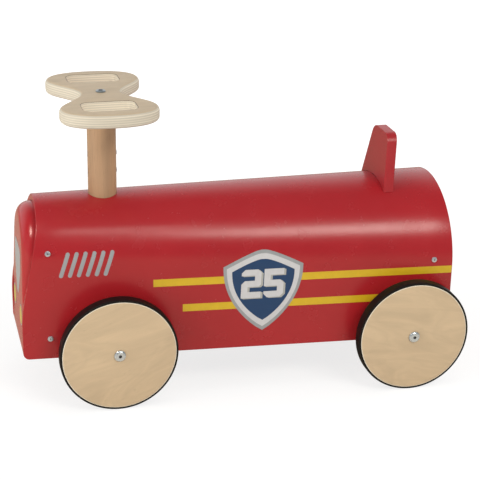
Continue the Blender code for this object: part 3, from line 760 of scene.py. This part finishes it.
def make_handle():
    """The handle board with two grip slots. Their walls are painted lighter, as painted light on
    the edge wood, and their upper rims dark, as painted shade.
    """
    board_rim, pitch, grain = 0.0055, 0.0029, (0, 0, 0.04)
    slot_x, slot_y, slot_place, slot_corner, slot_rim = 0.03375, 0.0205, 0.0685, 0.011, 0.0012
    low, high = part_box("steering_handle")
    base, top = low.z, high.z
    shape = loft([[at(STEER_X + x, y, z) for x, y in shrunk(handle_outline(), -offset)]
                  for offset, z in ring(base, top, 7, 0.0, board_rim)])
    wide = -slot_rim - FIT
    wall = [(wide, base - FIT)] + ring(base, top, 5, 0.0, slot_rim) + [(wide, top + FIT)]
    cutters = []
    for side in SIDES.values():
        loops = []
        for offset, z in wall:
            half_x, half_y = slot_x - offset, slot_y - offset
            corners = [(STEER_X + i * half_x, side * slot_place + j * half_y,
                        slot_corner - offset) for i, j in SQUARE]
            loops.append([at(x, y, z) for x, y in filleted(corners, 10)])
        cutters.append(loft(loops))
    shape = carved(shape, joined(cutters))
    # The slot walls get a birch lightened as painted light, and the top of each slot's rim a dark
    # birch as painted shade.
    board, dark = (2, base, top, pitch, grain), shade(BIRCH_TOP, 0.42)
    surfaces = [birch("handle_birch", BIRCH_TOP, BIRCH_EDGE, *board),
                birch("slot_birch_painted_light", BIRCH_EDGE, shade(BIRCH_EDGE, 1.18), *board, skin=0.0),
                birch("slot_rim_painted_shade", dark, dark, *board)]
    reach = slot_rim + 0.0002
    # Faces in a slot: the walls take the painted light, the upper rim rounding the painted shade.
    for face in shape.faces:
        middle = face.calc_center_median()
        along = abs(middle.x - at(STEER_X, 0, 0).x) - slot_x
        across = abs(abs(middle.y) - slot_place) - slot_y
        if max(along, across) < reach and abs(face.normal.z) < 0.999:
            face.material_index = 2 if top - middle.z < slot_rim / 2 else 1
    handle = new_piece("handle_board", shape, surfaces, "steering", 40)
    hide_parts("steering_handle")


def make_column():
    """The round column, with two screws sunk into its rear."""
    rim, socket = 0.0009, 0.0041
    low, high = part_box("steering_column")
    profile = [(0, low.z)] + ring(low.z, high.z, 4, COLUMN_RADIUS, rim) + [(0, high.z)]
    sockets = []
    for name in ("upper", "lower"):
        screw_low, screw_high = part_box(f"column_screw_{name}")
        place = Vector((screw_high.x - SCREW_HEAD - FIT - at(STEER_X, 0, 0).x, 0,
                        (screw_low.z + screw_high.z) / 2))
        sockets.append(rod(socket, 0, 0.01, 32, place, (1, 0, 0)))
    shape = carved(turned(profile, 96, closed=False), joined(sockets))
    column = new_piece("column", aimed(shape, at(STEER_X, 0, 0), (0, 0, 1)), [beech],
                       "steering")
    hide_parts("steering_column")


# Painted shapes

def wall_point(x, z, side, lift):
    """A point over the shell's outer surface at a height."""
    half = half_width(x)
    rise = ARCH_RATIO * half
    above = max(0.0, z - (SEAT - rise)) / rise
    spread = math.sqrt(1 - above ** 2)
    outward = Vector((-TAPER * spread / half, side * spread / half, above / rise)).normalized()
    return at(x, side * half * spread, z) + outward * lift


def flat_shape(outlines, step=0.0025):
    """A flat mesh in the XZ plane from outlines, sliced by height so that it can bend."""
    shape = bmesh.new()
    for outline in outlines:
        shape.faces.new([shape.verts.new((x, 0, z)) for x, z in outline])
    heights = [vert.co.z for vert in shape.verts]
    z = min(heights) + step
    while z < max(heights) - step / 4:
        bmesh.ops.bisect_plane(shape, geom=shape.verts[:] + shape.edges[:] + shape.faces[:],
                               dist=1e-7, plane_co=(0, 0, z), plane_no=(0, 0, 1))
        z += step
    return shape


def thicken(shape, place, layer):
    """Bend a flat shape with a placing function and give it the thickness of a printed film."""
    extruded = bmesh.ops.extrude_face_region(shape, geom=shape.faces[:])["geom"]
    top = {item for item in extruded if isinstance(item, bmesh.types.BMVert)}
    lift = FILM_GAP + FILM_STEP * layer
    for vert in shape.verts:
        vert.co = place(vert.co.x, vert.co.z, lift + FILM if vert in top else lift)
    bmesh.ops.triangulate(shape, faces=[f for f in shape.faces if len(f.verts) > 4])
    return shape


def side_mark(name, outlines, surface, layer, mirrored=False):
    """The same painted shape on both walls of the shell; a number is mirrored to read right."""
    for side_name, side in SIDES.items():
        shapes = outlines
        if mirrored and side > 0:
            shapes = [[(2 * SHIELD_X - x, z) for x, z in shape] for shape in outlines]
        shape = thicken(flat_shape(shapes),
                        lambda x, z, lift: wall_point(x, z, side, lift), layer)
        new_piece(f"{name}_{side_name}", shape, [surface], "chassis", 40)


def capsule(x0, z0, x1, z1, radius):
    """The outline of a bar with round ends between two points."""
    steps = 12
    start, end = Vector((x0, z0)), Vector((x1, z1))
    along = (end - start).normalized() * radius
    outline = []
    for centre, sign in ((end, 1), (start, -1)):
        for step in range(steps + 1):
            turn = math.pi / 2 - math.pi * step / steps
            outline.append(centre + Matrix.Rotation(-turn, 2) @ (along * sign))
    return [(point.x, point.y) for point in outline]


def shield_outline(inset):
    """A shield with a rounded peak and curved flanks; its bands are insets of one outline."""
    half, peak = 0.0535 - inset, 0.2013 - 1.06 * inset
    shoulder, tip = 0.1802 - 0.65 * inset, 0.0867 + 1.28 * inset
    peak_round, steps = 0.0078, 16
    slope = (peak - shoulder) / (math.hypot(half, peak_round) - peak_round)
    roof, flank = [], []
    for step in range(steps + 1):
        x = half * step / steps
        bow = 0.001 * math.sin(math.pi * step / steps)
        roof.append((x, peak + slope * (peak_round - math.hypot(x, peak_round)) + bow))
        drop = step / steps
        flank.append((half * (1 - drop ** 2.2) ** 0.89, shoulder + (tip - shoulder) * drop))
    right = roof + flank[1:]
    left = [(-x, z) for x, z in right[-2:0:-1]]
    return [(SHIELD_X + x, z) for x, z in right + left]


def block_digits(x0, z0, w, h, b, gap):
    """The digits 2 and 5 as plain slanted strokes: w wide, h high, with bars of b."""
    cut = b * 0.55
    mid = (h - b) / 2
    two = [(0, h - b), (0, h - cut), (cut, h), (w - cut, h), (w, h - cut), (w, mid + cut * 0.6),
           (w - cut * 0.6, mid), (b, mid), (b, b), (w, b), (w, 0), (0, 0), (0, mid + b - cut),
           (cut, mid + b), (w - b, mid + b), (w - b, h - b)]
    five = [(w, h), (w, h - b), (b, h - b), (b, mid + b), (w - cut, mid + b),
            (w, mid + b - cut), (w, cut), (w - cut, 0), (cut, 0), (0, cut), (0, b),
            (w - b, b), (w - b, mid), (0, mid), (0, h)]
    slant = 0.03
    digits = []
    for index, digit in enumerate((two, five)):
        shift = x0 + index * (w + gap)
        digits.append([(shift + x + slant * (z - h / 2), z0 + z) for x, z in digit])
    return digits


def make_marks():
    """The stripes, vents and numbered shield on both sides of the shell."""
    yellow = ink("yellow_print", YELLOW)
    blue = ink("blue_print", BLUE)
    white = ink("white_print", WHITE)
    grey = ink("grey_print", RIM_GREY)
    vent = ink("vent_print", VENT_GREY)
    shade_print = ink("digit_shade_print", SHADE_GREY)
    end, wide = SHELL_END - 0.0008, 0.0103
    for name, start, front, rear in (("upper", 0.0500, 0.1578, 0.1549),
                                     ("lower", 0.0886, 0.1206, 0.1180)):
        stripe = [(start, front), (end, rear), (end, rear + wide), (start, front + wide)]
        side_mark(f"stripe_{name}", [stripe], yellow, 0)
    front, low, high, slant, pitch, radius = -0.0687, 0.1800, 0.2088, 0.0094, 0.0114, 0.0026
    vents = [capsule(front + pitch * k, low, front + slant + pitch * k, high, radius)
             for k in range(6)]
    side_mark("vents", vents, vent, 0)
    for name, inset, surface, layer in (("rim", 0, grey, 1), ("white", 0.0045, white, 2),
                                        ("field", 0.0116, blue, 3)):
        side_mark(f"shield_{name}", [shield_outline(inset)], surface, layer)
    width, height, bar, gap, foot = 0.0265, 0.0405, 0.0086, 0.0038, 0.1345
    left = SHIELD_X - width - gap / 2 - 0.001
    digits = block_digits(left, foot, width, height, bar, gap)
    for layer, surface, shift, name in ((4, shade_print, 0.0027, "digit_shade_low"),
                                        (4.4, shade_print, 0.0014, "digit_shade_high"),
                                        (5, white, 0.0, "digits")):
        shapes = [[(x + shift, z - shift * 0.5) for x, z in digit] for digit in digits]
        side_mark(name, shapes, surface, layer, mirrored=True)


def make_face_marks():
    """The grille and the two lamps on the nose board."""
    def mark(name, outline, surface, layer):
        shape = thicken(flat_shape([outline], 0.02),
                        lambda y, z, lift: at(nose_face(z) - lift, y, z), layer)
        new_piece(name, shape, [surface], "chassis")

    grey = ink("grille_print", VENT_GREY)
    yellow = ink("lamp_print", LAMP)
    rim = ink("lamp_rim_print", RIM_GREY)
    left = [(-0.0305, 0.2025, 0.010), (-0.0335, 0.173, 0.020), (-0.009, 0.1335, 0.007)]
    mark("grille", filleted(left + [(-y, z, radius) for y, z, radius in left[::-1]]), grey, 0)
    lamp_y, lamp_z = 0.037, 0.115
    for side_name, side in SIDES.items():
        for name, radius, surface, layer in (("lamp_rim", 0.0140, rim, 0),
                                             ("lamp", 0.0121, yellow, 1)):
            disc = [(side * lamp_y + radius * math.cos(turn), lamp_z + radius * math.sin(turn))
                    for turn in (math.tau * k / 48 for k in range(48))]
            mark(f"{name}_{side_name}", disc, surface, layer)


# Fasteners on the places of their CAD nodes

def make_fasteners():
    """Hub bolts, the handle's bolt, the column's screws and the screws through the shell."""
    plated, smooth = [zinc, socket_painted_shade], 30
    hub = mesh_of("hub_bolt", hex_bolt(head=0.0075, top=HUB_HEAD, socket=0.0024), plated, smooth)
    cap = mesh_of("handle_bolt", hex_bolt(head=0.0065, top=0.0018, socket=0.0036),
                  [cap_steel, socket_painted_shade], smooth)
    screw = mesh_of("cross_screw", cross_screw(), plated, smooth)
    for end, x in (("front", 0.0), ("rear", WHEELBASE)):
        body = "steering" if end == "front" else "chassis"
        for side_name, side in SIDES.items():
            node = f"{end}_hub_bolt_{side_name}"
            low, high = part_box(node)
            outer = high.y if side > 0 else low.y
            copy_of(hub, f"{end}_hub_{side_name}",
                    Vector(((low.x + high.x) / 2, outer - side * HUB_HEAD, AXLE_Z)),
                    (0, side, 0), body, node)
    low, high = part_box("handle_bolt")
    copy_of(cap, "handle_cap", at(STEER_X, 0, high.z - HUB_HEAD), (0, 0, 1), "steering",
            "handle_bolt")
    for name in ("upper", "lower"):
        low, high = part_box(f"column_screw_{name}")
        copy_of(screw, f"column_fixing_{name}",
                Vector((high.x - SCREW_HEAD, 0, (low.z + high.z) / 2)), (1, 0, 0), "steering",
                f"column_screw_{name}")
    rear_recess = 0.0171
    bulkhead, rear_board = -TOP_FRONT + BOARD_HALF, SHELL_END - rear_recess - BOARD_HALF
    front_high, rear_high, lowest = BASE + 0.1493, BASE + 0.113, BASE + 0.0312
    guide_beam, axle_beam = AXLE_Z + 0.044 + BOARD_HALF, AXLE_Z + 0.0165
    spots = {"front_screw_upper": (bulkhead, front_high),
             "front_screw_lower": (bulkhead, lowest),
             "rear_screw_upper": (rear_board, rear_high),
             "rear_screw_lower": (rear_board, lowest),
             "guide_beam_screw": (STEER_X, guide_beam),
             "axle_beam_screw": (WHEELBASE, axle_beam)}
    for name, (x, z) in spots.items():
        for side_name, side in SIDES.items():
            place = wall_point(x, z, side, FIT)
            outward = place - wall_point(x, z, side, 0)
            copy_of(screw, f"{name}_head_{side_name}", place, outward, "chassis",
                    f"{name}_{side_name}")


def dress_cad_nodes():
    """Procedural surfaces for the CAD nodes that are shown as they are."""
    veneer = (-1.0, -0.9, 0.003, (0, 0, 1.571))  # a range outside them, so no layers show
    board = birch("board_birch", BIRCH_FACE, BIRCH_EDGE, 0, *veneer)
    flat = birch("beam_birch", BIRCH_FACE, BIRCH_EDGE, 2, *veneer)
    looks = {"red_lacquer": red_board, "bare_plywood": flat, "beech": beech_block,
             "birch_plywood": flat, "black_rubber": rubber, "steel": steel,
             "zinc_plated_steel": zinc, "white_nylon": nylon}
    for entry in frame["record"]["subparts"]:
        node = frame["nodes"][entry["node"]]
        is_board = entry["node"] == "front_bulkhead"
        surface = board if is_board else looks[entry["material_slot"]]
        if not node.data.materials:
            node.data.materials.append(surface)
        for item in node.material_slots:
            item.material = surface


# Studio

def area_light(name, place, target, size, power, colour):
    """A rectangular lamp at a place, aimed at a target."""
    lamp = bpy.data.lights.new(name, "AREA")
    lamp.shape = "RECTANGLE"
    lamp.size, lamp.size_y = size
    lamp.energy = power
    lamp.color = colour
    item = linked(name, lamp)
    item.location = place
    item.rotation_euler = (Vector(target) - Vector(place)).to_track_quat("-Z", "Y").to_euler()
    return item


def make_floor():
    """A white floor: the camera sees it white with a soft shadow, and it lights the object."""
    recipe = Recipe("studio_floor")
    path = recipe.add("ShaderNodeLightPath").outputs
    camera, glossy = path["Is Camera Ray"], path["Is Glossy Ray"]
    speck = recipe.noise(recipe.place, 30.0)
    tone = recipe.mix(speck, (0.83, 0.83, 0.83), (0.87, 0.87, 0.87))
    tone = recipe.mix(glossy, tone, (0.68, 0.58, 0.44))
    recipe.finish(Base_Color=recipe.mix(camera, tone, (0.30, 0.30, 0.30)), Roughness=0.9,
                  Specular_IOR_Level=0.0)
    distance = recipe.add("ShaderNodeVectorMath", {"operation": "LENGTH"}, _0=recipe.place)
    glow = recipe.mapped(distance.outputs["Value"], 0.45, 1.3, 0.77, 1.0)
    glow = recipe.add("ShaderNodeEmission", Strength=recipe.math("MULTIPLY", camera, glow))
    both = recipe.add("ShaderNodeAddShader", _0=recipe.shader.outputs[0], _1=glow.outputs[0])
    recipe.plug(recipe.tree.nodes["Material Output"], "Surface", both.outputs[0])
    shape = bmesh.new()
    bmesh.ops.create_grid(shape, x_segments=1, y_segments=1, size=8.0)
    mesh = raw_mesh("floor", shape)
    mesh.materials.append(recipe.material)
    floor = linked("floor", mesh)


def make_world():
    """White for the camera. Reflections see it white behind the object and dark overhead."""
    world = bpy.data.worlds.new("studio")
    bpy.context.scene.world = world
    world.use_nodes = True
    world.cycles.sampling_method = "NONE"
    sky = Nodes(world.node_tree)
    way = sky.add("ShaderNodeTexCoord").outputs["Generated"]
    way = sky.add("ShaderNodeSeparateXYZ", _0=way).outputs
    behind = sky.math("MULTIPLY", sky.math("SUBTRACT", way["Y"], 0.05), 3.0, True)
    below = sky.math("MULTIPLY", sky.math("SUBTRACT", 0.90, way["Z"]), 2.9, True)
    bright = sky.math("MULTIPLY", behind, below)
    reflected = sky.math("ADD", sky.math("MULTIPLY", bright, 0.9), 0.1)
    path = sky.add("ShaderNodeLightPath").outputs
    glossy = sky.math("MULTIPLY", path["Is Glossy Ray"],
                      sky.math("SUBTRACT", reflected, WORLD_LEVEL))
    strength = sky.math("MAXIMUM", path["Is Camera Ray"], sky.math("ADD", glossy, WORLD_LEVEL))
    back = sky.tree.nodes["Background"]
    sky.plug(back, "Color", (1.0, 1.0, 1.0, 1.0))
    sky.plug(back, "Strength", strength)


def make_lights():
    """Two warm key lamps on the left, one that only the paint reflects, and two soft fills."""
    warm = (1.0, 0.95, 0.87)
    area_light("key_softbox", (0.72, -1.58, 1.57), (0.15, 0, 0.2), (0.95, 0.48), 15, warm)
    area_light("key_front", (0.05, -1.55, 2.10), (-0.05, 0, 0.2), (0.55, 0.50), 3.2, warm)
    nose = area_light("nose_lamp", (-0.90, -0.58, 1.35), (-0.3, 0, 0.2), (0.30, 0.45), 9.0,
                      (1.0, 0.88, 0.76))
    nose.visible_diffuse = False
    for name, place, power in (("top_fill", (0.1, 0.0, 2.0), 3),
                               ("front_fill", (-1.85, -0.4, 0.6), 18)):
        fill = area_light(name, place, (0, 0, 0.15), (1.2, 1.2), power, (1.0, 0.97, 0.92))
        fill.visible_glossy = False


def make_camera():
    """The camera as fitted to the photograph."""
    yaw, pitch, roll = 0.2585, 0.3717, -0.0207
    ahead = Vector((math.sin(yaw) * math.cos(pitch), math.cos(yaw) * math.cos(pitch),
                    -math.sin(pitch)))
    right = Vector((math.cos(yaw), -math.sin(yaw), 0))
    down = ahead.cross(right)
    across = right * math.cos(roll) + down * math.sin(roll)
    below = down * math.cos(roll) - right * math.sin(roll)
    camera = linked("camera", bpy.data.cameras.new("camera"))
    camera.data.sensor_width = 36
    camera.data.lens = 103.05
    turn = Matrix((across, -below, -ahead)).transposed()
    place = Vector((AXLE_X - 0.26220, -1.69628, AXLE_Z + 0.78832))
    camera.matrix_world = Matrix.Translation(place) @ turn.to_4x4()
    bpy.context.scene.camera = camera


make_shell()
make_nose()
make_backrest()
for wheel_name, wheel_grain in (("front_wheel_left", -0.35), ("front_wheel_right", 1.1),
                                ("rear_wheel_left", 0.20), ("rear_wheel_right", 0.7)):
    low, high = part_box(f"{wheel_name}_disc")
    make_wheel(wheel_name, (low + high) / 2, wheel_grain)
make_handle()
make_column()
make_fasteners()
make_marks()
make_face_marks()
dress_cad_nodes()
make_floor()
make_world()
make_lights()
make_camera()

bpy.context.scene.view_settings.view_transform = "Standard"
